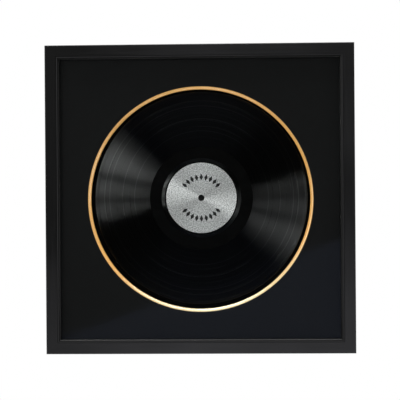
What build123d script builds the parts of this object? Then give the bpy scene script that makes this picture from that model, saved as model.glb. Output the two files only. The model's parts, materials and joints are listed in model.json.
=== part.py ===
import os
from math import asin, cos, sin

from build123d import *

os.makedirs("parts", exist_ok=True)

# Millimetres. The front faces -Y and +Z is up. The origin lies on the wall plane, midway between
# the two hooks that the frame hangs on.

# Boards and glass: with this border round the window they come to a 16 inch square
mat_border = 43.1
board_play = 0.8
glass_thickness = 2.0
mat_thickness = 1.4
spacer_thickness = 6.0
spacer_width = 14.0
spacer_play = 0.5
mount_board_thickness = 1.4
filler_thickness = 5.0
back_board_thickness = 3.0
back_board_recess = 0.1

# Moulding: a flat face, a quirk and an ovolo that runs down to the glass
back_width = 15.0
lip_width = 5.5
lip_depth = 6.0
arris_radius = 1.5
quirk_width = 0.7
quirk_depth = 1.6
bead_drop = 0.6
bead_flat = 0.8
ovolo_radius = 3.2
back_arris = 0.6

# Corner nails: folded steel driven across each mitre from behind
v_nail_leg = 7.0
v_nail_gauge = 0.6
v_nail_depth = 10.0

# Gold ring that lines the window in the mat and stands clear of the record
ring_record_gap = 5.1
ring_face_width = 3.9
ring_window_gap = 0.3
ring_glass_gap = 0.3
ring_flange_width = 8.0
ring_flange_thickness = 1.2
ring_edge_width = 0.7
ring_foot_height = 4.0
ring_face_bulge = 0.35
window_shift_right = 0.8
window_shift_down = 0.4

# Twelve inch record, hung a little right of and above the window's middle
record_radius = 150.8
record_shift_right = 1.2
record_shift_up = 1.8
record_hole_radius = 3.62
label_hole_margin = 0.8
land_margin = 0.8
land_thickness = 2.2
shoulder_width = 5.4
groove_thickness = 1.5
bead_thickness = 1.9
bead_width = 2.6
bead_slope_width = 2.0
record_edge_round = 0.6
label_radius = 50.0
label_thickness = 0.15

# Hub behind the record, with foam dots that hold the record to it
hub_radius = 35.0
hub_rim = 4.0
hub_thickness = 1.2
hub_spigot_gap = 0.12
hub_spigot_recess = 0.5
hub_spigot_chamfer = 0.4
foam_dot_radius = 7.0
foam_dot_thickness = 0.8
foam_dot_count = 4

# Pan head wood screws, the same for the turn buttons and the hangers
screw_shank_radius = 1.5
screw_head_overhang = 1.5
screw_head_height = 1.8
screw_head_rim = 0.9
screw_length = 12.0
screw_point_length = 3.0
pilot_gap = 0.05

# Turn buttons
button_thickness = 1.0
button_margin = 2.0
button_tip_radius = 3.4
button_overlap = 12.1
button_lift_run = 6.9
button_lift = 1.6
button_play = 0.05
button_bore_gap = 0.08
button_from_corner = 89.0

# Hangers: a folded strap round the bar of a D ring
d_ring_wire_radius = 1.1
d_ring_bend_radius = 1.6
d_ring_side_gap = 1.1
d_ring_height = 11.0
d_ring_rest_gap = 0.3
strap_gauge = 0.9
strap_width = 7.6
strap_loop_gap = 0.1
strap_joggle_start = 1.0
strap_joggle_run = 5.0
strap_end_radius = 2.6
strap_hole_gap = 0.2
strap_hole_drop = 17.0
strap_hole_spacing = 12.0
strap_end_margin = 7.0
hanger_below_button = 41.0

# Wall bumpers
bumper_radius = 5.0
bumper_tip_radius = 4.0
bumper_round = 0.8
bumper_from_corner = 24.0
hanger_wall_gap = 0.8

overrun = 5.0


# Places that follow from the sizes above

strap_loop_radius = d_ring_wire_radius + strap_loop_gap
hanger_height = 2 * (strap_gauge + strap_loop_radius)
bumper_height = hanger_height + hanger_wall_gap

rail_back_y = -bumper_height
back_board_y = rail_back_y - back_board_recess
filler_y = back_board_y - back_board_thickness
mount_board_y = filler_y - filler_thickness
mount_front_y = mount_board_y - mount_board_thickness
mat_back_y = mount_front_y - spacer_thickness
mat_front_y = mat_back_y - mat_thickness
glass_front_y = mat_front_y - glass_thickness
front_y = glass_front_y - lip_depth

ring_inner_radius = record_radius + ring_record_gap
ring_outer_radius = ring_inner_radius + ring_face_width
window_radius = ring_outer_radius + ring_window_gap

board_half = window_radius + mat_border
glass_side = 2 * board_half
rebate_half = board_half + board_play
outer_half = rebate_half + back_width
sight_half = rebate_half - lip_width
back_middle = outer_half - back_width / 2
button_offset = outer_half - button_from_corner
centre_z = hanger_below_button - button_offset

right = Vector(1, 0, 0)
up = Vector(0, 0, 1)
rearward = Vector(0, 1, 0)
centre = Vector(0, 0, centre_z)
window_middle = centre + window_shift_right * right - window_shift_down * up
rails = {"top": up, "bottom": -up, "left": -right, "right": right}


def layer(y, x=0, z=centre_z):
    """A plane that faces the viewer at depth y."""
    return Plane(origin=(x, y, z), x_dir=right, z_dir=-rearward)


def save(piece, name):
    piece.label = name
    export_step(piece, f"parts/{name}.step")


# Corner nails, each a V that opens towards the middle of the frame

v_nail_tip = back_middle + v_nail_leg / 2

with BuildPart() as corner_v_nails:
    with BuildSketch(layer(rail_back_y - v_nail_depth)):
        with BuildLine():
            Polyline(
                (v_nail_tip - v_nail_leg, v_nail_tip),
                (v_nail_tip, v_nail_tip),
                (v_nail_tip, v_nail_tip - v_nail_leg),
            )
        trace(line_width=v_nail_gauge)
        mirror(about=Plane.YZ)
        mirror(about=Plane.XZ)
    extrude(amount=-v_nail_depth)
save(corner_v_nails.part, "corner_v_nails")


# Rails: one moulding cut into four, each mitred on the diagonals of the frame

button_ends = {
    "top": {"left": -right, "right": right},
    "bottom": {"left": -right, "right": right},
    "left": {"upper": up, "lower": -up},
    "right": {"upper": up, "lower": -up},
}
button_spots = {
    f"turn_button_{side}_{end}": (rails[side] * back_middle + along * button_offset, rails[side])
    for side, ends in button_ends.items()
    for end, along in ends.items()
}

d_ring_bar_z = d_ring_wire_radius - d_ring_height
strap_hole_z = [d_ring_bar_z - strap_hole_drop - n * strap_hole_spacing for n in range(2)]
strap_screw_spots = [
    Vector(side * back_middle, 0, z - centre_z) for side in (-1, 1) for z in strap_hole_z
]
pilot_spots = [spot for spot, _ in button_spots.values()] + strap_screw_spots

for side, outward in rails.items():
    along = outward.cross(rearward)
    with BuildPart() as rail:
        with BuildSketch(Plane(origin=centre, x_dir=outward, z_dir=along)):
            with BuildLine():
                ovolo_x = sight_half + ovolo_radius
                ovolo_y = front_y + bead_drop + ovolo_radius
                quirk_end = ovolo_x + bead_flat
                face_end = quirk_end + quirk_width
                Polyline(
                    (outer_half - back_arris, rail_back_y),
                    (outer_half, rail_back_y - back_arris),
                    (outer_half, front_y + arris_radius),
                )
                CenterArc((outer_half - arris_radius, front_y + arris_radius), arris_radius, 0, -90)
                Polyline(
                    (outer_half - arris_radius, front_y),
                    (face_end, front_y),
                    (face_end, front_y + quirk_depth),
                    (quirk_end, front_y + quirk_depth),
                    (quirk_end, front_y + bead_drop),
                    (ovolo_x, front_y + bead_drop),
                )
                CenterArc((ovolo_x, ovolo_y), ovolo_radius, -90, -90)
                Polyline(
                    (sight_half, ovolo_y),
                    (sight_half, glass_front_y),
                    (rebate_half, glass_front_y),
                    (rebate_half, rail_back_y),
                    (outer_half - back_arris, rail_back_y),
                )
            make_face()
        extrude(amount=outer_half, both=True)
        split(bisect_by=Plane(origin=centre, z_dir=outward - along), keep=Keep.TOP)
        split(bisect_by=Plane(origin=centre, z_dir=outward + along), keep=Keep.TOP)
        add(corner_v_nails.part, mode=Mode.SUBTRACT)
        with BuildSketch(layer(rail_back_y)):
            with Locations(*[(spot.X, spot.Z) for spot in pilot_spots]):
                Circle(screw_shank_radius + pilot_gap)
        extrude(amount=screw_length, mode=Mode.SUBTRACT)
    save(rail.part, f"{side}_rail")


# Glass and boards, stacked in the rebate from the front to the back

with BuildPart() as glazing:
    with BuildSketch(layer(mat_front_y)):
        Rectangle(glass_side, glass_side)
    extrude(amount=glass_thickness)
save(glazing.part, "glazing")

with BuildPart() as outer_mat:
    with BuildSketch(layer(mat_back_y)):
        Rectangle(glass_side, glass_side)
        with Locations((window_shift_right, -window_shift_down)):
            Circle(window_radius, mode=Mode.SUBTRACT)
    extrude(amount=mat_thickness)
save(outer_mat.part, "outer_mat")

with BuildPart() as mount_board:
    with BuildSketch(layer(mount_board_y)):
        Rectangle(glass_side, glass_side)
    extrude(amount=mount_board_thickness)
save(mount_board.part, "mount_board")

with BuildPart() as filler_board:
    with BuildSketch(layer(filler_y)):
        Rectangle(glass_side, glass_side)
    extrude(amount=filler_thickness)
save(filler_board.part, "filler_board")

with BuildPart() as back_board:
    with BuildSketch(layer(back_board_y)):
        Rectangle(glass_side, glass_side)
    extrude(amount=back_board_thickness)
save(back_board.part, "back_board")


# Spacer strips between the mat and the mount board: the upright ones stand between the level ones

spacer_middle = board_half - spacer_width / 2
upright_length = glass_side - 2 * (spacer_width + spacer_play)

for side, outward in rails.items():
    level = side in ("top", "bottom")
    spot = outward * spacer_middle
    with BuildPart() as spacer:
        with BuildSketch(layer(mount_front_y)):
            with Locations((spot.X, spot.Z)):
                if level:
                    Rectangle(glass_side, spacer_width)
                else:
                    Rectangle(spacer_width, upright_length)
        extrude(amount=spacer_thickness)
    save(spacer.part, f"spacer_{side}")


# Gold ring: a turned ring whose face slopes from the mat down to the mount board

ring_front_y = mat_front_y + ring_glass_gap
face_top = (ring_outer_radius - ring_edge_width, ring_front_y)
face_foot = (ring_inner_radius, mount_front_y - ring_foot_height)

with BuildPart() as gold_ring:
    with BuildSketch(Plane(origin=window_middle, x_dir=right, z_dir=up)):
        with BuildLine():
            Polyline(
                (ring_inner_radius, mount_front_y),
                face_foot,
            )
            SagittaArc(face_foot, face_top, -ring_face_bulge)
            Polyline(
                face_top,
                (ring_outer_radius, ring_front_y),
                (ring_outer_radius, mat_back_y),
                (ring_outer_radius + ring_flange_width, mat_back_y),
                (ring_outer_radius + ring_flange_width, mat_back_y + ring_flange_thickness),
                (ring_outer_radius, mat_back_y + ring_flange_thickness),
                (ring_outer_radius, mount_front_y),
                (ring_inner_radius, mount_front_y),
            )
        make_face()
    revolve(axis=Axis(window_middle, rearward))
save(gold_ring.part, "gold_ring")


# Record: a turned profile, thick at the label and the rim and thin under the grooves

record_x = window_middle.X + record_shift_right
record_z = window_middle.Z + record_shift_up
hub_front_y = mount_front_y - hub_thickness
foam_front_y = hub_front_y - foam_dot_thickness
land_back_y = foam_front_y - label_thickness
land_front_y = land_back_y - land_thickness
record_middle = Vector(record_x, (land_back_y + land_front_y) / 2, record_z)
record_axis = Axis(record_middle, rearward)
land_radius = label_radius + land_margin
bead_start = record_radius - bead_width

with BuildPart() as vinyl_record:
    with BuildSketch(Plane(origin=record_middle, x_dir=right, z_dir=up)):
        with BuildLine():
            Polyline(
                (record_hole_radius, 0),
                (record_hole_radius, land_thickness / 2),
                (land_radius, land_thickness / 2),
                (land_radius + shoulder_width, groove_thickness / 2),
                (bead_start - bead_slope_width, groove_thickness / 2),
                (bead_start, bead_thickness / 2),
                (record_radius - record_edge_round, bead_thickness / 2),
            )
            CenterArc(
                (record_radius - record_edge_round, bead_thickness / 2 - record_edge_round),
                record_edge_round,
                90,
                -90,
            )
            Line(
                (record_radius, bead_thickness / 2 - record_edge_round),
                (record_radius, 0),
            )
            mirror(about=Plane.XZ)
        make_face()
    revolve(axis=record_axis)
save(vinyl_record.part, "vinyl_record")

for name, label_back_y in {"back_label": foam_front_y, "front_label": land_front_y}.items():
    with BuildPart() as label:
        with BuildSketch(layer(label_back_y, record_x, record_z)):
            Circle(label_radius)
            Circle(record_hole_radius + label_hole_margin, mode=Mode.SUBTRACT)
        extrude(amount=label_thickness)
    save(label.part, name)


# Hub and foam dots

foam_dot_circle_radius = hub_radius - hub_rim - foam_dot_radius
spigot_radius = record_hole_radius - hub_spigot_gap
spigot_height = hub_front_y - land_front_y - hub_spigot_recess

with BuildPart() as record_hub:
    with BuildSketch(layer(mount_front_y, record_x, record_z)):
        Circle(hub_radius)
    extrude(amount=hub_thickness)
    with BuildSketch(layer(hub_front_y, record_x, record_z)):
        Circle(spigot_radius)
    extrude(amount=spigot_height)
    chamfer(record_hub.edges().group_by(Axis.Y)[0], length=hub_spigot_chamfer)
save(record_hub.part, "record_hub")

with BuildPart() as foam_dots:
    with BuildSketch(layer(hub_front_y, record_x, record_z)):
        with PolarLocations(foam_dot_circle_radius, foam_dot_count, start_angle=360 / foam_dot_count / 2):
            Circle(foam_dot_radius)
    extrude(amount=foam_dot_thickness)
save(foam_dots.part, "foam_dots")


# One screw with the underside of its head at the origin and its point towards -Y

screw_head_radius = screw_shank_radius + screw_head_overhang

with BuildPart() as screw:
    with BuildSketch(Plane.XY):
        with BuildLine():
            Polyline(
                (0, -screw_length),
                (screw_shank_radius, screw_point_length - screw_length),
                (screw_shank_radius, 0),
                (screw_head_radius, 0),
                (screw_head_radius, screw_head_rim),
            )
            TangentArc((0, screw_head_height), (screw_head_radius, screw_head_rim), tangent=(1, 0))
            Line((0, screw_head_height), (0, -screw_length))
        make_face()
    revolve(axis=Axis.Y)


def screw_set(spots, head_y):
    """The same screw at each spot, with the underside of its head at head_y."""
    with BuildPart() as screws:
        with Locations(*[Location((spot.X, head_y, centre_z + spot.Z)) for spot in spots]):
            add(screw.part)
    return screws.part


# Turn buttons: stamped plates with a lifted tip, locked over the back board

button_y = rail_back_y + button_play
button_head_y = button_y + button_thickness + button_play
button_pivot_radius = screw_head_radius + button_margin
button_end = back_middle - board_half + button_overlap
button_tip_x = button_end - button_tip_radius
button_bend_x = button_end - button_lift_run

for name, (spot, outward) in button_spots.items():
    pivot = centre + spot + rearward * button_y
    inward = -outward
    with BuildPart() as button:
        with BuildSketch(Plane(origin=pivot, x_dir=inward, z_dir=inward.cross(rearward))):
            with BuildLine():
                Polyline(
                    (-button_pivot_radius, 0),
                    (button_bend_x, 0),
                    (button_end, button_lift),
                    (button_end, button_lift + button_thickness),
                    (button_bend_x, button_thickness),
                    (-button_pivot_radius, button_thickness),
                    close=True,
                )
            make_face()
        extrude(amount=button_pivot_radius, both=True)
        with BuildSketch(Plane(origin=pivot, x_dir=inward, z_dir=rearward)):
            with BuildLine():
                CenterArc((0, 0), button_pivot_radius, 0, 360)
                CenterArc((button_tip_x, 0), button_tip_radius, 0, 360)
            make_hull()
            Circle(screw_shank_radius + button_bore_gap, mode=Mode.SUBTRACT)
        extrude(amount=button_lift + button_thickness + overrun, mode=Mode.INTERSECT)
    save(button.part, name)

save(screw_set([spot for spot, _ in button_spots.values()], button_head_y), "turn_button_screws")


# Hangers: the strap folds round the straight bar of the D ring, which leans on the rail

bar_y = rail_back_y + strap_gauge + strap_loop_radius
sheet_radius = strap_loop_radius + strap_gauge / 2
d_ring_drop = bar_y - (rail_back_y + d_ring_rest_gap + d_ring_wire_radius)
d_ring_lean = asin(d_ring_drop / d_ring_height)
d_ring_half_width = strap_width / 2 + d_ring_side_gap + d_ring_wire_radius
d_ring_arc_height = d_ring_height - d_ring_half_width
bar_half = d_ring_half_width - d_ring_bend_radius
strap_joggle_end = strap_joggle_start + strap_joggle_run
strap_length = strap_hole_drop + strap_hole_spacing + strap_end_margin

for side in ("left", "right"):
    hanger = Vector(rails[side].X * back_middle, bar_y, d_ring_bar_z)

    with BuildPart() as strap:
        with BuildSketch(Plane(origin=hanger, x_dir=rearward, z_dir=right)):
            with BuildLine():
                CenterArc((0, 0), sheet_radius, 180, -180)
                Polyline(
                    (sheet_radius, 0),
                    (sheet_radius, -strap_joggle_start),
                    (strap_gauge - sheet_radius, -strap_joggle_end),
                )
                Line((-sheet_radius, 0), (-sheet_radius, -strap_joggle_end))
            trace(line_width=strap_gauge)
            with Locations((-strap_loop_radius, -strap_length)):
                Rectangle(
                    2 * strap_gauge,
                    strap_length - strap_joggle_end + strap_gauge / 2,
                    align=(Align.CENTER, Align.MIN),
                )
        extrude(amount=strap_width / 2, both=True)
        fillet(strap.edges().filter_by(Axis.Y).group_by(Axis.Z)[0], radius=strap_end_radius)
        with BuildSketch(layer(bar_y)):
            with Locations(*[(hanger.X, z - centre_z) for z in strap_hole_z]):
                Circle(screw_shank_radius + strap_hole_gap)
        extrude(amount=hanger_height, both=True, mode=Mode.SUBTRACT)
    save(strap.part, f"hanger_strap_{side}")

    ring_plane = Plane(
        origin=hanger, x_dir=right, z_dir=(0, -cos(d_ring_lean), -sin(d_ring_lean))
    )
    with BuildPart() as d_ring:
        with BuildLine(ring_plane) as d_path:
            Line((-bar_half, 0), (bar_half, 0))
            CenterArc((bar_half, d_ring_bend_radius), d_ring_bend_radius, -90, 90)
            Line((d_ring_half_width, d_ring_bend_radius), (d_ring_half_width, d_ring_arc_height))
            CenterArc((0, d_ring_arc_height), d_ring_half_width, 0, 180)
            Line((-d_ring_half_width, d_ring_arc_height), (-d_ring_half_width, d_ring_bend_radius))
            CenterArc((-bar_half, d_ring_bend_radius), d_ring_bend_radius, 180, 90)
        wire_path = d_path.wires()[0]
        with BuildSketch(Plane(origin=wire_path @ 0, z_dir=wire_path % 0)):
            Circle(d_ring_wire_radius)
        sweep(path=wire_path)
    save(d_ring.part, f"hanger_ring_{side}")

save(screw_set(strap_screw_spots, rail_back_y + 2 * strap_gauge), "hanger_screws")


# Bumpers on the bottom rail, which keep the lower edge off the wall

for side in ("left", "right"):
    bumper_x = rails[side].X * (outer_half - bumper_from_corner)
    with BuildPart() as bumper:
        with BuildSketch(layer(rail_back_y, bumper_x, centre_z - back_middle)):
            Circle(bumper_radius)
        with BuildSketch(layer(0, bumper_x, centre_z - back_middle)):
            Circle(bumper_tip_radius)
        loft()
        fillet(bumper.edges().group_by(Axis.Y)[-1], radius=bumper_round)
    save(bumper.part, f"bumper_{side}")
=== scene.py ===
import json
import math

import bpy
from mathutils import Matrix, Vector


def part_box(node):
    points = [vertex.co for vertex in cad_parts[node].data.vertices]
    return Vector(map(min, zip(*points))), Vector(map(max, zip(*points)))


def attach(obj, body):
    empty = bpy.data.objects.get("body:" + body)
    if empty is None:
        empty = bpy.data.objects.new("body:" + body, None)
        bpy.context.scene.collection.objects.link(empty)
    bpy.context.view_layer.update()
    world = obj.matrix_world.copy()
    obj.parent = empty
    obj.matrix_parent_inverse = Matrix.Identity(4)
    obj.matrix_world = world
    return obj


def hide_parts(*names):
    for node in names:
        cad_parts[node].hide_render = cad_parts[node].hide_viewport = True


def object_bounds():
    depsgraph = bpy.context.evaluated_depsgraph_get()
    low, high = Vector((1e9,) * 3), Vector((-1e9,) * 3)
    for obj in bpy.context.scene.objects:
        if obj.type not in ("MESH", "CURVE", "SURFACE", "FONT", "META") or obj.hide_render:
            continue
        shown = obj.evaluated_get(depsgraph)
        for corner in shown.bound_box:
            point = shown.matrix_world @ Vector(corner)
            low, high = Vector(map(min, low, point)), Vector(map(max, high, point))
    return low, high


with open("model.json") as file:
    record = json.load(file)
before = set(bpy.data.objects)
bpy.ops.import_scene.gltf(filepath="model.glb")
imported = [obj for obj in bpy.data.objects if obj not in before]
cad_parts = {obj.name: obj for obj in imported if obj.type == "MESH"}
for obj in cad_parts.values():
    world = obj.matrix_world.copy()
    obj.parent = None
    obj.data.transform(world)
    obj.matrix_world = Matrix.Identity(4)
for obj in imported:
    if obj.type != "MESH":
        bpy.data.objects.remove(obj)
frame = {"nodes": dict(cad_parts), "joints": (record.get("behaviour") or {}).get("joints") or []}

nodes = frame["nodes"]
cad_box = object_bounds()
middle = (cad_box[0] + cad_box[1]) / 2


# ---------------------------------------------------------------------------------------------
# Rails. One wood moulding, cut to four mitred lengths, glued and nailed, and sprayed with satin
# black lacquer, which sinks into the grain along each rail. As painted light, the black is
# painted lighter from the upper left corner to the lower right, and on the top and bottom rails
# than on the sides. It is full on the ovolo, and a painted highlight runs along the top of its
# bead.

LACQUER = (0.0030, 0.0030, 0.0030)
# The pale end of the black, used both for a thinner coat and for painted light.
LACQUER_THIN_AND_LIT = (0.0270, 0.0270, 0.0290)
# The colour of a painted highlight along the top of the bead.
LACQUER_PAINTED_HIGHLIGHT = (0.0280, 0.0280, 0.0290)
# Painted light: how much lighter the black is painted at the origin, to the right, downward, and
# on the top and bottom rails against the sides.
PAINTED_LIGHT_AT_ORIGIN = 0.23
PAINTED_LIGHT_RIGHTWARD = 0.75
PAINTED_LIGHT_DOWNWARD = 1.5
PAINTED_LIGHT_LEVEL_RAILS = 1.5
# Where the bead's top lies, and the half width of the painted highlight along it.
BEAD_TOP = 0.2020
BEAD_HIGHLIGHT_HALF_WIDTH = 0.0010
OVOLO_START = 0.2016
OVOLO_COVER = 0.8
LACQUER_ROUGHNESS = 0.46
LACQUER_RELIEF = 0.00005
GRAIN_SCALE = 420
GRAIN_STRETCH = 0.04
ORANGE_PEEL_SCALE = 900
MOTTLE_SCALE = 14
MOTTLE = 0.25


class Shade:
    """A node's output that can be written in sums, so that a finish reads as an expression."""

    def __init__(self, tree, socket):
        self.tree = tree
        self.socket = socket

    def maths(self, operation, *others):
        """A Math node on this shade and the others, in this order."""
        return Tree(self.tree).maths(operation, self, *others)

    def __add__(self, other):
        return self.maths("ADD", other)

    def __sub__(self, other):
        return self.maths("SUBTRACT", other)

    def __rsub__(self, other):
        return Tree(self.tree).maths("SUBTRACT", other, self)

    def __mul__(self, other):
        return self.maths("MULTIPLY", other)

    def __truediv__(self, other):
        return self.maths("DIVIDE", other)

    def __pow__(self, other):
        return self.maths("POWER", other)

    def __abs__(self):
        return self.maths("ABSOLUTE")

    def __lt__(self, other):
        return self.maths("LESS_THAN", other)

    __radd__ = __add__
    __rmul__ = __mul__


class Tree:
    """A node tree, which gets all its nodes from node()."""

    def __init__(self, tree):
        self.tree = tree

    def join(self, value, place):
        """Links a shade to a socket, or writes a plain value in it."""
        if isinstance(value, Shade):
            self.tree.links.new(value.socket, place)
        else:
            place.default_value = value

    def node(self, kind, settings, inputs, output=0):
        """One node: its settings first, then the values or links of its sockets."""
        node = self.tree.nodes.new(kind)
        for name, value in settings.items():
            setattr(node, name, value)
        for name, value in inputs.items():
            self.join(value, node.inputs[name])
        return Shade(self.tree, node.outputs[output])

    def maths(self, operation, *terms):
        return self.node("ShaderNodeMath", {"operation": operation}, dict(enumerate(terms)))


class Finish(Tree):
    """A material round one Principled shader, with constants on its sockets."""

    def __init__(self, name, **constants):
        self.material = bpy.data.materials.new(name)
        self.material.use_nodes = True
        super().__init__(self.material.node_tree)
        self.shader = self.tree.nodes["Principled BSDF"]
        self.set(**constants)

    def set(self, **values):
        """Each name is a socket of the Principled shader, with _ for a space."""
        for name, value in values.items():
            place = self.shader.inputs[name.replace("_", " ")]
            if isinstance(value, tuple) and len(value) == 3 and place.type == "RGBA":
                value = (*value, 1)
            self.join(value, place)

    def show(self, shader):
        """The piece shows this shader instead of the Principled one."""
        self.join(shader, self.tree.nodes["Material Output"].inputs["Surface"])

    def place(self, stretch=(1, 1, 1)):
        """Where a point lies on the piece, in metres, stretched along each axis."""
        here = self.node("ShaderNodeTexCoord", {}, {}, "Object")
        return self.node("ShaderNodeMapping", {}, {"Vector": here, "Scale": stretch})

    def axes(self, vector):
        parts = self.node("ShaderNodeSeparateXYZ", {}, {"Vector": vector}).socket.node.outputs
        return [Shade(self.tree, part) for part in parts]

    def noise(self, scale, vector, detail=3.0, roughness=0.55):
        inputs = {"Vector": vector, "Scale": scale, "Detail": detail, "Roughness": roughness}
        return self.node("ShaderNodeTexNoise", {}, inputs)

    def cells(self, scale, vector, output=0):
        return self.node("ShaderNodeTexVoronoi", {}, {"Vector": vector, "Scale": scale}, output)

    def blend(self, share, low, high):
        """The colour that lies this share of the way from low to high."""
        colours = {}
        for place, colour in ((6, low), (7, high)):
            colours[place] = colour if isinstance(colour, Shade) else (*colour, 1)
        return self.node("ShaderNodeMix", {"data_type": "RGBA"}, {0: share, **colours}, 2)

    def bump(self, height, depth, strength):
        """Tilts the surface as if it rose by depth metres where height is 1."""
        inputs = {"Height": height, "Distance": depth, "Strength": strength}
        return self.node("ShaderNodeBump", {}, inputs)

    def on(self, *names):
        for name in names:
            dress(nodes[name], self.material)


def dress(piece, *materials):
    """Puts these materials on a piece. A made mesh has none yet, and keeps its faces' choices."""
    if piece.data.materials:
        piece.data.materials.clear()
    for material in materials:
        piece.data.materials.append(material)


def lacquer(name, stretch):
    """Satin black. Where the coat is thinned at random, more of the grey primer shows through.
    Painted light makes it lighter towards the lower right and on the top and bottom rails, with a
    painted highlight along the bead.
    """
    finish = Finish(name, Specular_IOR_Level=0.22)
    x, _, z = finish.axes(finish.place())
    upright = abs(z - middle.z)
    reach = upright.maths("MAXIMUM", abs(x))
    # A painted highlight along the top of the bead.
    bead_highlight = (1 - abs(reach - BEAD_TOP) / BEAD_HIGHLIGHT_HALF_WIDTH).maths("MAXIMUM", 0.0)
    # Painted light: the black is painted lighter towards the lower right, and on the top and
    # bottom rails than on the sides. This painted light and the mottle are kept mostly off the
    # ovolo.
    lit_and_thin = x * PAINTED_LIGHT_RIGHTWARD - z * PAINTED_LIGHT_DOWNWARD + PAINTED_LIGHT_AT_ORIGIN
    lit_and_thin = lit_and_thin + (upright - abs(x)) * PAINTED_LIGHT_LEVEL_RAILS
    lit_and_thin = lit_and_thin * (1 - (reach < OVOLO_START) * OVOLO_COVER)
    grain = finish.noise(GRAIN_SCALE, finish.place(stretch), detail=4)
    peel = finish.noise(ORANGE_PEEL_SCALE, finish.place(), detail=1)
    mottle = finish.noise(MOTTLE_SCALE, finish.place(), detail=2)
    lit_and_thin = lit_and_thin + (grain - 0.5) * MOTTLE + (mottle - 0.5) * MOTTLE
    finish.set(
        Base_Color=finish.blend(
            bead_highlight, finish.blend(lit_and_thin, LACQUER, LACQUER_THIN_AND_LIT), LACQUER_PAINTED_HIGHLIGHT
        ),
        Roughness=LACQUER_ROUGHNESS + (grain - 0.5) * 0.12 + (mottle - 0.5) * 0.08,
        Normal=finish.bump(grain * 0.7 + peel * 0.3, LACQUER_RELIEF, 0.5),
    )
    return finish


lacquer("lacquer_level", (GRAIN_STRETCH, 1, 1)).on("top_rail", "bottom_rail")
lacquer("lacquer_upright", (1, 1, GRAIN_STRETCH)).on("left_rail", "right_rail")


# ---------------------------------------------------------------------------------------------
# Glass. A flat pane with a coating that cuts its reflection, held by the lip of the moulding.
# What it mirrors is all that shows of it.

PANE_EDGE = (0.10, 0.20, 0.17)
PANE_TINT = (0.985, 0.995, 0.99, 1)
PANE_IOR = 1.5
PANE_MIRROR = 0.15
PANE_ROUGHNESS = 0.02
SMEAR_SCALE = 9
SMEAR_STRETCH = (1, 1, 0.5)
SMEAR_ROUGHNESS = 0.05

pane = Finish("coated_glass", Base_Color=PANE_EDGE, Roughness=0.03, Specular_IOR_Level=0.5)
smear = pane.noise(SMEAR_SCALE, pane.place(SMEAR_STRETCH), detail=4)
fresnel = pane.node("ShaderNodeFresnel", {}, {"IOR": PANE_IOR})
gloss = pane.node("ShaderNodeBsdfAnisotropic", {}, {
    "Roughness": PANE_ROUGHNESS + smear * SMEAR_ROUGHNESS, "Color": (1, 1, 1, 1),
})
clear = pane.node("ShaderNodeBsdfTransparent", {}, {"Color": PANE_TINT})
pane.show(pane.node("ShaderNodeMixShader", {}, {0: fresnel * PANE_MIRROR, 1: clear, 2: gloss}))
pane.on("glazing")


# ---------------------------------------------------------------------------------------------
# Outer mat and mount board. Black board with a smooth coated face, cut with a round window. The
# record is mounted on the second sheet, behind the window.

BOARD = (0.0051, 0.0052, 0.0053)
BOARD_DEEP = (0.0008, 0.0008, 0.0008)
BOARD_SPREAD = 1.3
BOARD_ROUGHNESS = 0.5
TOOTH_SCALE = 1400
TOOTH_RELIEF = 0.00002
BOARD_CLOUD_SCALE = 7


def board(name, colour, level):
    finish = Finish(name, Specular_IOR_Level=level)
    tooth = finish.noise(TOOTH_SCALE, finish.place(), detail=2)
    cloud = finish.noise(BOARD_CLOUD_SCALE, finish.place(), detail=3)
    pale = tuple(channel * BOARD_SPREAD for channel in colour)
    finish.set(
        Base_Color=finish.blend(tooth * 0.6 + cloud * 0.4, colour, pale),
        Roughness=BOARD_ROUGHNESS + (cloud - 0.5) * 0.1,
        Normal=finish.bump(tooth, TOOTH_RELIEF, 0.4),
    )
    return finish


mat_finish = board("mat_board", BOARD, 0.06)
mat_finish.set(Coat_Weight=1.0, Coat_IOR=2.1, Coat_Roughness=0.05)
mat_finish.on("outer_mat")
board("mount_board", BOARD_DEEP, 0.05).on("mount_board")


# ---------------------------------------------------------------------------------------------
# Gold ring. A turned ring, gilded and left satin, that lines the window from the mat down to the
# mount board. The turning marks run round it, and a painted highlight makes the gilding pale
# round the bottom.

GOLD = (1.0, 0.46, 0.085)
GOLD_PALE = (1.0, 0.54, 0.14)
# A pale gold painted round the bottom of the ring as a highlight. Below it: where the highlight
# starts, how fast it grows, how far it leans to the right and how ragged its edge is.
GOLD_PAINTED_HIGHLIGHT = (1.0, 0.79, 0.44)
GOLD_ROUGHNESS = 0.30
HIGHLIGHT_START = 0.48
HIGHLIGHT_GAIN = 1.9
HIGHLIGHT_LEAN = 0.17
HIGHLIGHT_EDGE_SPREAD = 0.3
TURNING_SCALE = 5200
TURNING_DRIFT = 3
TURNING_RELIEF = 0.00002
LEAF_SCALE = 24

ring_low, ring_high = (Vector(corner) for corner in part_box("gold_ring"))
window_middle = (ring_low + ring_high) / 2
ring_radius = ring_high.x - window_middle.x

gold = Finish(
    "satin_gold", Metallic=0.05, Specular_IOR_Level=0.5,
    Coat_Weight=1.0, Coat_Roughness=0.36, Coat_IOR=2.3,
)
x, y, z = gold.axes(gold.place())
angle = (z - window_middle.z).maths("ARCTAN2", x - window_middle.x)
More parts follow.
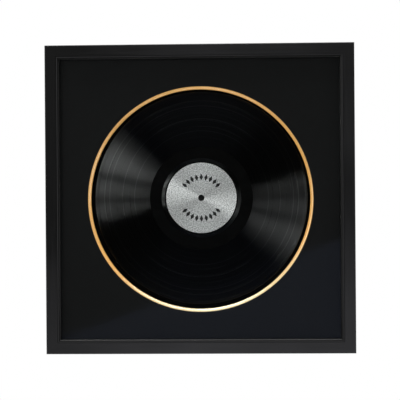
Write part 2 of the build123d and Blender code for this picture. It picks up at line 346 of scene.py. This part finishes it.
# Painted highlight: how far a point lies towards the bottom of the ring, leaning to the right.
low = (window_middle.z - z + (x - window_middle.x) * HIGHLIGHT_LEAN) / ring_radius
line = gold.node("ShaderNodeCombineXYZ", {}, {0: y * TURNING_SCALE, 1: angle * TURNING_DRIFT})
turning = gold.noise(1.0, line)
leaf = gold.noise(LEAF_SCALE, gold.place(), detail=3)
gold.set(
    Base_Color=gold.blend(
        (low - HIGHLIGHT_START) * HIGHLIGHT_GAIN + (leaf - 0.5) * HIGHLIGHT_EDGE_SPREAD,
        gold.blend(turning * 0.4 + leaf * 0.6, GOLD, GOLD_PALE), GOLD_PAINTED_HIGHLIGHT,
    ),
    Roughness=GOLD_ROUGHNESS + (leaf - 0.5) * 0.10,
    Normal=gold.bump(turning, TURNING_RELIEF, 0.25),
)
gold.on("gold_ring")


# ---------------------------------------------------------------------------------------------
# Spacers, filler and hub. Strips of black foam board keep the mat off the mount board, a white
# foam board fills the rebate, and a moulded hub with foam dots carries the record.

FOAM_CELL_SCALE = 1500
FOAM_RELIEF = 0.0001
HUB_BLACK = (0.003, 0.003, 0.003)
HUB_PALE = (0.007, 0.007, 0.007)
HUB_GRAIN_SCALE = 2600
HUB_RELIEF = 0.00003


def foam(name, colour, pale):
    finish = Finish(name, Roughness=0.85)
    cells = finish.cells(FOAM_CELL_SCALE, finish.place())
    finish.set(
        Base_Color=finish.blend(cells, colour, pale),
        Normal=finish.bump(cells, FOAM_RELIEF, 0.5),
    )
    return finish


foam("foam_black", (0.014, 0.014, 0.014), (0.03, 0.03, 0.03)).on(
    "spacer_top", "spacer_bottom", "spacer_left", "spacer_right"
)
foam("foam_white", (0.75, 0.75, 0.73), (0.88, 0.88, 0.86)).on("filler_board")
foam("foam_dot", (0.55, 0.55, 0.53), (0.7, 0.7, 0.68)).on("foam_dots")

hub = Finish("hub_plastic", Specular_IOR_Level=0.2)
hub_grain = hub.noise(HUB_GRAIN_SCALE, hub.place(), detail=2)
hub.set(
    Base_Color=hub.blend(hub_grain, HUB_BLACK, HUB_PALE),
    Roughness=0.5 + hub_grain * 0.2,
    Normal=hub.bump(hub_grain, HUB_RELIEF, 0.5),
)
hub.on("record_hub")


# ---------------------------------------------------------------------------------------------
# Record. Pressed black vinyl: a thick land under the label, a shoulder, a smooth run-out, bands
# of grooves with a plain line between two tracks, and a raised bead at the rim. It hangs on the
# hub by its spindle hole. Its lengths are in millimetres.

MM = 0.001
RECORD_SEGMENTS = 288
RECORD_CREASE = 4
HOLE_RADIUS = 3.62
# Radius, and how much of the drop from the land to the grooves is behind it.
SHOULDER = ((51.9, 0.0), (52.6, 0.12), (53.4, 0.32), (54.6, 0.66), (55.5, 0.88), (56.4, 1.0))
GROOVE_START = 73.2
GROOVE_LEVEL = 0.75
TRACK_GAPS = (95.2, 112.2, 130.6, 137.8)
GAP_HALF_WIDTH = 0.5
GAP_RISE = 0.07
RIM_BEAD_START = 148.2
RIM_BEAD_SLOPE = 2.0
RIM_BEAD_LEVEL = 0.95
RIM_ROUND = 0.6
RIM_STEPS = 4
SMOOTH, GROOVED, GAP, SLOPE = 0, 1, 2, 3

record_low, record_high = (Vector(corner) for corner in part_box("vinyl_record"))
record_middle = (record_low + record_high) / 2
record_radius = (record_high.x - record_low.x) / 2 / MM
land_level = (record_high.y - record_low.y) / 2 / MM
facing = Matrix(((1, 0, 0), (0, 0, -1), (0, 1, 0))).to_4x4()


def add_piece(name, mesh, crease):
    """A piece with this mesh, shaded smooth but for edges sharper than crease degrees."""
    mesh.shade_smooth()
    mesh.set_sharp_from_angle(angle=math.radians(crease))
    piece = bpy.data.objects.new(name, mesh)
    bpy.context.scene.collection.objects.link(piece)
    return piece


def turned(name, rows, segments, dip=None, crease=35):
    """A closed body turned about local Z from rows of (radius, height, finish of the next
    band). Rows that start on the axis end on it too, and the others close on themselves."""
    vertices = []
    faces = []
    finishes = []
    rings = []
    for radius, height, _ in rows:
        if radius == 0:
            rings.append([len(vertices)] * segments)
            vertices.append((0, 0, height + (dip(0, 0) if dip else 0)))
            continue
        rings.append(range(len(vertices), len(vertices) + segments))
        for step in range(segments):
            turn = 2 * math.pi * step / segments
            px, py = radius * math.cos(turn), radius * math.sin(turn)
            vertices.append((px, py, height + (dip(px, py) if dip else 0)))
    last = len(rows) if rows[0][0] else len(rows) - 1
    for row in range(last):
        here, beyond = rings[row], rings[(row + 1) % len(rows)]
        for step in range(segments):
            after = (step + 1) % segments
            corners = [here[step], beyond[step], beyond[after], here[after]]
            faces.append(list(dict.fromkeys(corners)))
            finishes.append(rows[row][2])
    mesh = bpy.data.meshes.new(name)
    mesh.from_pydata([Vector(vertex) * MM for vertex in vertices], [], faces)
    mesh.polygons.foreach_set("material_index", finishes)
    return add_piece(name, mesh, crease)


front_rows = [(HOLE_RADIUS, land_level, SMOOTH)]
for radius, fall in SHOULDER:
    band = SLOPE if fall < 1 else SMOOTH
    front_rows.append((radius, land_level - (land_level - GROOVE_LEVEL) * fall, band))
front_rows.append((GROOVE_START, GROOVE_LEVEL, GROOVED))
for gap in TRACK_GAPS:
    front_rows += [
        (gap - GAP_HALF_WIDTH, GROOVE_LEVEL, GAP),
        (gap, GROOVE_LEVEL + GAP_RISE, GAP),
        (gap + GAP_HALF_WIDTH, GROOVE_LEVEL, GROOVED),
    ]
front_rows += [
    (RIM_BEAD_START - RIM_BEAD_SLOPE, GROOVE_LEVEL, GROOVED),
    (RIM_BEAD_START, RIM_BEAD_LEVEL, GROOVED),
]
for step in range(RIM_STEPS + 1):
    turn = math.pi / 2 * step / RIM_STEPS
    front_rows.append((
        record_radius - RIM_ROUND * (1 - math.sin(turn)),
        RIM_BEAD_LEVEL - RIM_ROUND * (1 - math.cos(turn)),
        GROOVED if step < RIM_STEPS / 2 else SMOOTH,
    ))
back_rows = []
for place, (radius, height, _) in reversed(list(enumerate(front_rows))):
    band = front_rows[place - 1][2] if place else SMOOTH
    back_rows.append((radius, -height, band))

record = turned("record_body", front_rows + back_rows, RECORD_SEGMENTS, crease=RECORD_CREASE)
record.matrix_world = Matrix.Translation(record_middle) @ facing

VINYL = (0.0005, 0.0005, 0.0005)
VINYL_DULL = (0.0012, 0.0012, 0.0012)
VINYL_HAZY = (0.0024, 0.0024, 0.0024)
HAZE_SCALE = 30
GROOVE_MIRROR = 0.054
GAP_MIRROR = 0.084
SLOPE_MIRROR = 0.13
SHINE_GAIN = 0.0118
GROOVE_ANISOTROPY = 0.764
GROOVE_ROUGHNESS = 0.2913
LOUDNESS_SCALE = 0.9
LOUDNESS = 0.16
DRIFT_SCALE = 9
DRIFT = 0.03

smooth = Finish("vinyl_smooth", Specular_IOR_Level=0.2)
haze = smooth.noise(HAZE_SCALE, smooth.place(), detail=4)
smooth.set(
    Base_Color=smooth.blend(haze, VINYL_DULL, VINYL_HAZY), Roughness=0.16 + haze * 0.12
)


def grooves(name, mirror):
    """Grooves run round the record, so a light stretches to a band out from the middle. They
    shine more towards the rim, where they are cut louder."""
    finish = Finish(name, Base_Color=VINYL, Specular_IOR_Level=0.0)
    x, y, _ = finish.axes(finish.place())
    radius = ((x * x + y * y) ** 0.5) * (1 / MM)
    line = finish.node("ShaderNodeCombineXYZ", {}, {0: radius * LOUDNESS_SCALE})
    loud = finish.noise(1.0, line, detail=3)
    drift = finish.noise(DRIFT_SCALE, finish.place(), detail=2)
    sheen = finish.node("ShaderNodeBsdfAnisotropic", {"distribution": "BECKMANN"}, {
        "Color": (1, 1, 1, 1), "Anisotropy": GROOVE_ANISOTROPY,
        "Roughness": GROOVE_ROUGHNESS + (loud - 0.5) * LOUDNESS + (drift - 0.5) * DRIFT,
    })
    body = Shade(finish.tree, finish.shader.outputs["BSDF"])
    share = (1 + (radius - GROOVE_START) * SHINE_GAIN) * mirror
    finish.show(finish.node("ShaderNodeMixShader", {}, {0: share, 1: body, 2: sheen}))
    return finish.material


dress(
    record, smooth.material, grooves("vinyl_grooves", GROOVE_MIRROR),
    grooves("vinyl_gaps", GAP_MIRROR), grooves("vinyl_slope", SLOPE_MIRROR),
)
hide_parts("vinyl_record")
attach(record, "frame")


# ---------------------------------------------------------------------------------------------
# Labels. Discs of silver foil paper with a fine sparkle, pressed on both faces of the record and
# printed with two arcs of lozenges. Lengths are in millimetres and angles in degrees.

LABEL_RADIUS = 50.0
LABEL_HOLE = 4.42
LABEL_THICKNESS = 0.15
LABEL_BEVEL = 0.04
LABEL_SEGMENTS = 160
SILVER = (0.30, 0.30, 0.303)
SILVER_PALE = (1.0, 1.0, 1.0)
INK = (0.012, 0.012, 0.012)
FOIL_METALLIC = 0.66
FOIL_ROUGHNESS = 0.38
FOIL_RELIEF = 0.00004
FLAKE_SCALE = 580
FLAKE_CONTRAST = 2.8
FLAKE_TONE = 0.75
SPARK_SCALE = 1600
ARC_MIDDLE = 90
ARC_HALF_SPAN = 4.3
MARK_STEP = 13.2
MARK_RADIUS = 29.5
LOZENGE_HALF_WIDTH = 2.5
LOZENGE_HALF_HEIGHT = 4.8

foil = Finish(
    "silver_foil", Specular_IOR_Level=0.5, Anisotropic=1.0, Anisotropic_Rotation=0.25,
)
x, y, _ = foil.axes(foil.place())
radius = ((x * x + y * y) ** 0.5) * (1 / MM)
turn = abs(y.maths("ARCTAN2", x)) * (180 / math.pi)
mark = (turn - ARC_MIDDLE) / MARK_STEP
across = (mark - mark.maths("ROUND")) * radius * math.radians(MARK_STEP)
above = radius - MARK_RADIUS
lozenge = (abs(across) / LOZENGE_HALF_WIDTH + abs(above) / LOZENGE_HALF_HEIGHT) < 1
ink = lozenge * (abs(mark) < ARC_HALF_SPAN)
flake = (foil.noise(FLAKE_SCALE, foil.place(), detail=1) - 0.5) * FLAKE_CONTRAST + FLAKE_TONE
spark = foil.axes(foil.cells(SPARK_SCALE, foil.place(), "Color"))[0]
foil.set(
    Base_Color=foil.blend(
        ink, foil.blend(flake * 0.8 + spark * 0.2, SILVER, SILVER_PALE), INK
    ),
    Metallic=FOIL_METALLIC - ink * 0.6,
    Roughness=FOIL_ROUGHNESS + (spark - 0.5) * 0.16 + ink * 0.2,
    Normal=foil.bump(flake * 0.5 + spark * 0.5, FOIL_RELIEF, 0.6),
)

half = LABEL_THICKNESS / 2
for name in ("front_label", "back_label"):
    label_low, label_high = (Vector(corner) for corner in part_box(name))
    disc = turned(name + "_disc", [
        (LABEL_HOLE, -half, 0),
        (LABEL_HOLE, half, 0),
        (LABEL_RADIUS - LABEL_BEVEL, half, 0),
        (LABEL_RADIUS, half - LABEL_BEVEL, 0),
        (LABEL_RADIUS, -half, 0),
    ], LABEL_SEGMENTS)
    disc.matrix_world = Matrix.Translation((label_low + label_high) / 2) @ facing
    dress(disc, foil.material)
    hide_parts(name)
    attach(disc, "frame")


# ---------------------------------------------------------------------------------------------
# Back board. Brown fibreboard, bare, with its pressed fibres and a few dark flecks, held in the
# rebate by the turn buttons.

FIBRE_DARK = (0.16, 0.085, 0.042)
FIBRE_PALE = (0.40, 0.26, 0.15)
FLECK = (0.06, 0.03, 0.016)
FIBRE_ROUGHNESS = 0.72
FIBRE_RELIEF = 0.00012
FIBRE_SCALE = 260
FIBRE_STRETCH = (1, 1, 0.35)
FIBRE_CLOUD_SCALE = 8
FLECK_SCALE = 330
FLECK_STRETCH = (1, 1, 0.6)
FLECK_RADIUS = 0.12
FLECK_SHARE = 0.6

fibre = Finish("fibreboard", Specular_IOR_Level=0.25)
strands = fibre.noise(FIBRE_SCALE, fibre.place(FIBRE_STRETCH), detail=5, roughness=0.65)
cloud = fibre.noise(FIBRE_CLOUD_SCALE, fibre.place(), detail=3)
fleck = fibre.cells(FLECK_SCALE, fibre.place(FLECK_STRETCH)) < FLECK_RADIUS
brown = fibre.blend(strands * 0.7 + cloud * 0.3, FIBRE_DARK, FIBRE_PALE)
fibre.set(
    Base_Color=fibre.blend(fleck * FLECK_SHARE, brown, FLECK),
    Roughness=FIBRE_ROUGHNESS + (strands - 0.5) * 0.2,
    Normal=fibre.bump(strands, FIBRE_RELIEF, 0.5),
)
fibre.on("back_board")


# ---------------------------------------------------------------------------------------------
# Corner nails and turn buttons. Folded steel nails hold each mitre. Stamped steel buttons turn on
# their screws over the edge of the back board. All are bright zinc.

SPANGLE_SCALE = 500
SCRATCH_SCALE = 1800
SCRATCH_RELIEF = 0.00002


def steel(name, colour, pale, roughness, stretch=(1, 1, 1)):
    finish = Finish(name, Metallic=1.0)
    spangle = finish.noise(SPANGLE_SCALE, finish.place(), detail=3)
    scratch = finish.noise(SCRATCH_SCALE, finish.place(stretch), detail=4, roughness=0.7)
    finish.set(
        Base_Color=finish.blend(spangle * 0.6 + scratch * 0.4, colour, pale),
        Roughness=roughness + (scratch - 0.5) * 0.25 + (spangle - 0.5) * 0.1,
        Normal=finish.bump(scratch, SCRATCH_RELIEF, 0.4),
    )
    return finish


zinc = steel("bright_zinc", (0.42, 0.44, 0.46), (0.66, 0.67, 0.66), 0.34, (1, 1, 0.08))
zinc.on("corner_v_nails", *[name for name in nodes if name.startswith("turn_button_")])


# ---------------------------------------------------------------------------------------------
# Screws. Pan head wood screws, zinc plated, with a cross recess. Eight hold the turn buttons and
# four hold the hangers. Lengths are in millimetres, but for where the heads are seated.

SCREW_SEGMENTS = 48
SCREW_CREASE = 30
SHANK_RADIUS = 1.5
HEAD_RADIUS = 3.0
HEAD_HEIGHT = 1.8
HEAD_RIM = 0.9
HEAD_CHAMFER = 0.08
HEAD_STEPS = 24
SCREW_LENGTH = 12.0
POINT_LENGTH = 3.0
RECESS_REACH = 1.75
RECESS_HALF_WIDTH = 0.36
RECESS_DEPTH = 1.0
RECESS_SLOPE = 0.14
RECESS_TAPER = 0.45
FIRST_TURN = 12
TURN_BETWEEN = 37
BUTTON_SEAT = -0.0039
STRAP_SEAT = -0.0032
STRAP_SCREWS_BELOW_PIN = (0.017, 0.029)


def cross_recess(px, py):
    """How far the cross goes down at a point of the head."""
    wide, narrow = max(abs(px), abs(py)), min(abs(px), abs(py))
    flank = min(1.0, max(0.0, (RECESS_HALF_WIDTH - narrow) / RECESS_SLOPE + 0.5))
    end = min(1.0, max(0.0, (RECESS_REACH - wide) / (2 * RECESS_SLOPE) + 0.5))
    return -RECESS_DEPTH * flank * end * (1 - RECESS_TAPER * wide / RECESS_REACH)


def screw_rows():
    """A domed head, its underside, a plain shank and a point."""
    rows = [(0, HEAD_HEIGHT, 0)]
    rise = HEAD_HEIGHT - HEAD_RIM
    dome = (HEAD_RADIUS ** 2 + rise ** 2) / (2 * rise)
    for step in range(1, HEAD_STEPS + 1):
        radius = HEAD_RADIUS * step / HEAD_STEPS
        drop = dome - math.sqrt(dome ** 2 - radius ** 2)
        rows.append((radius, HEAD_HEIGHT - drop, 0))
    return rows + [
        (HEAD_RADIUS, HEAD_CHAMFER, 0),
        (HEAD_RADIUS - HEAD_CHAMFER, 0, 0),
        (SHANK_RADIUS, 0, 0),
        (SHANK_RADIUS, POINT_LENGTH - SCREW_LENGTH, 0),
        (0, -SCREW_LENGTH, 0),
    ]


one_screw = turned("screw_pattern", screw_rows(), SCREW_SEGMENTS, cross_recess)
to_wall = Matrix(((1, 0, 0), (0, 0, 1), (0, -1, 0))).to_4x4()
screw_zinc = steel("screw_zinc", (0.40, 0.41, 0.42), (0.62, 0.62, 0.6), 0.3)


def screws(name, replaced, spots, seat):
    """The same screw at each spot, each turned differently, with its head seated at seat."""
    vertices, faces = [], []
    for number, (sx, sz) in enumerate(spots):
        turn = Matrix.Rotation(math.radians(FIRST_TURN + TURN_BETWEEN * number), 4, "Z")
        placed = Matrix.Translation((sx, seat, sz)) @ to_wall @ turn
        base = len(vertices)
        vertices += [placed @ vertex.co for vertex in one_screw.data.vertices]
        faces += [[base + i for i in polygon.vertices] for polygon in one_screw.data.polygons]
    mesh = bpy.data.meshes.new(name)
    mesh.from_pydata(vertices, [], faces)
    piece = add_piece(name, mesh, SCREW_CREASE)
    dress(piece, screw_zinc.material)
    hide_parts(replaced)
    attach(piece, "frame")


button_spots = []
strap_spots = []
for joint in frame["joints"]:
    px, _, pz = joint["pos_m"]
    if joint["name"].startswith("turn_button"):
        button_spots.append((px, pz))
    else:
        strap_spots += [(px, pz - drop) for drop in STRAP_SCREWS_BELOW_PIN]
screws("button_screw_heads", "turn_button_screws", button_spots, BUTTON_SEAT)
screws("strap_screw_heads", "hanger_screws", strap_spots, STRAP_SEAT)
bpy.data.objects.remove(one_screw)


# ---------------------------------------------------------------------------------------------
# Hangers. A nickel plated strap folded round the bar of a D ring, and screwed to the side rail.
# The ring is bent wire and swings in the fold.

nickel = steel("nickel_plate", (0.50, 0.47, 0.43), (0.74, 0.71, 0.66), 0.28, (1, 1, 0.1))
nickel.on("hanger_strap_left", "hanger_strap_right", "hanger_ring_left", "hanger_ring_right")


# ---------------------------------------------------------------------------------------------
# Bumpers. Two soft rubber cones, stuck to the lower corners, that keep the frame off the wall.
# The rubber is moulded with a fine grain and has a faint bloom.

RUBBER = (0.018, 0.018, 0.018)
RUBBER_PALE = (0.04, 0.04, 0.04)
BLOOM_SCALE = 700
RUBBER_RELIEF = 0.00004

rubber = Finish("soft_rubber", Specular_IOR_Level=0.35)
bloom = rubber.noise(BLOOM_SCALE, rubber.place(), detail=4)
rubber.set(
    Base_Color=rubber.blend(bloom, RUBBER, RUBBER_PALE),
    Roughness=0.62 + bloom * 0.25,
    Normal=rubber.bump(bloom, RUBBER_RELIEF, 0.6),
)
rubber.on("bumper_left", "bumper_right")


# ---------------------------------------------------------------------------------------------
# Studio. A pale floor well below the hanging frame, four soft boxes in a column on the left, one
# each on the right, above and below, and a white backdrop behind the frame. A dim blue panel low
# in front shows only in the coat of the mat.

FLOOR_DROP = 2.2
FLOOR_RADIUS = 1.5
FLOOR_BEHIND = 1.0
FLOOR_SIDES = 120
FLOOR_DARK = (0.80, 0.80, 0.80)
FLOOR_PALE = (0.84, 0.84, 0.835)
FLOOR_GRAIN_SCALE = 40
# Name, place from the frame's middle, width and height, and watts.
LAMPS = (
    ("lamp_left_0", (-1.9, -1.7, -0.21), (1.0, 0.30), 3.0),
    ("lamp_left_1", (-1.9, -1.7, 0.20), (1.0, 0.34), 4.6),
    ("lamp_left_2", (-1.9, -1.7, 0.73), (1.0, 0.47), 10.7),
    ("lamp_left_3", (-1.9, -1.7, 1.16), (1.0, 0.34), 2.9),
    ("lamp_right", (1.6, -0.4, -0.35), (0.4, 1.0), 6),
    ("lamp_top", (0.0, -0.1, 1.2), (1.8, 0.3), 30),
    ("lamp_low", (0.0, -0.1, -1.2), (1.8, 0.4), 4.3),
)
PANEL = ("panel_low", (0.398, -2.15, -0.589), (2.2, 0.9), 0.32)
PANEL_BLUE = (0.46, 0.57, 1.0)
PANEL_TURN = 19.2
AMBIENT = 0.8
DARK_FRONT = 0.004
BACKDROP_EDGE = 0.1
BACKDROP_RISE = 4
BACKDROP_SOFTNESS = 0.2

floor_mesh = bpy.data.meshes.new("floor")
floor_edge = []
for step in range(FLOOR_SIDES):
    turn = 2 * math.pi * step / FLOOR_SIDES
    floor_edge.append((
        FLOOR_RADIUS * math.cos(turn), FLOOR_RADIUS * math.sin(turn) + FLOOR_BEHIND, -FLOOR_DROP
    ))
floor_mesh.from_pydata(floor_edge, [], [list(range(FLOOR_SIDES))])
floor = bpy.data.objects.new("floor", floor_mesh)
bpy.context.scene.collection.objects.link(floor)
paper = Finish("floor_paper", Specular_IOR_Level=0.2)
floor_grain = paper.noise(FLOOR_GRAIN_SCALE, paper.place(), detail=4)
paper.set(Base_Color=paper.blend(floor_grain, FLOOR_DARK, FLOOR_PALE), Roughness=0.8)
dress(floor, paper.material)

frame_middle = Vector((0, cad_box[0].y, middle.z))


def soft_box(name, offset, size, watts, colour=(1, 1, 1), turn=0.0, ahead=False):
    """An area lamp at an offset from the frame's middle. It aims at the middle, or else straight
    ahead along Y, and is turned about its own axis by turn degrees."""
    data = bpy.data.lights.new(name, "AREA")
    data.shape = "RECTANGLE"
    data.size, data.size_y = size
    data.energy = watts
    data.color = colour
    lamp = bpy.data.objects.new(name, data)
    lamp.location = frame_middle + Vector(offset)
    towards = Vector((0, -offset[1], 0)) if ahead else -Vector(offset)
    aimed = towards.to_track_quat("-Z", "Y")
    turned_by = Matrix.Rotation(math.radians(turn), 3, "Z").to_quaternion()
    lamp.rotation_euler = (aimed @ turned_by).to_euler()
    bpy.context.scene.collection.objects.link(lamp)


for lamp in LAMPS:
    soft_box(*lamp)
soft_box(*PANEL, colour=PANEL_BLUE, turn=PANEL_TURN, ahead=True)

world = bpy.data.worlds.new("studio")
bpy.context.scene.world = world
world.use_nodes = True
sky = Tree(world.node_tree)
direction = sky.node("ShaderNodeTexCoord", {}, {}, "Generated")
rearward = sky.node("ShaderNodeSeparateXYZ", {}, {0: direction}, "Y")
seen = sky.node("ShaderNodeLightPath", {}, {}, "Is Camera Ray")
glossy = sky.node("ShaderNodeLightPath", {}, {}, "Is Glossy Ray")
through = sky.node("ShaderNodeLightPath", {}, {}, "Is Transmission Ray")
mirrored = glossy.maths("MAXIMUM", through)
rising = (rearward + BACKDROP_EDGE) * BACKDROP_RISE
backdrop = rising.maths("SMOOTH_MIN", 1.0, BACKDROP_SOFTNESS).maths("MAXIMUM", DARK_FRONT)
strength = seen + (1 - seen) * (mirrored * backdrop + (1 - mirrored) * AMBIENT)
background = sky.tree.nodes["Background"].inputs
sky.join(strength, background["Strength"])
sky.join((1, 1, 1, 1), background["Color"])


# ---------------------------------------------------------------------------------------------
# Camera. It stands a little right of the frame's middle, level with it, and leans by a hair.
# Angles are in degrees, and the lens and its sensor in millimetres.

DISTANCE = 1.8
YAW = 2.048
PITCH = -0.016
ROLL = 0.399
LENS = 114.76
SENSOR_WIDTH = 36
AIM_SHIFT = (0.00043, 0.0, -0.00167)

yaw, pitch = math.radians(YAW), math.radians(PITCH)
stand = frame_middle + DISTANCE * Vector(
    (math.sin(yaw) * math.cos(pitch), -math.cos(yaw) * math.cos(pitch), math.sin(pitch))
)
lens = bpy.data.cameras.new("camera")
lens.lens = LENS
lens.sensor_width = SENSOR_WIDTH
camera = bpy.data.objects.new("camera", lens)
bpy.context.scene.collection.objects.link(camera)
towards = frame_middle + Vector(AIM_SHIFT) - stand
level = towards.to_track_quat("-Z", "Y").to_matrix()
leaning = level @ Matrix.Rotation(math.radians(-ROLL), 3, "Z")
camera.matrix_world = Matrix.Translation(stand) @ leaning.to_4x4()
bpy.context.scene.camera = camera
bpy.context.scene.view_settings.view_transform = "Standard"
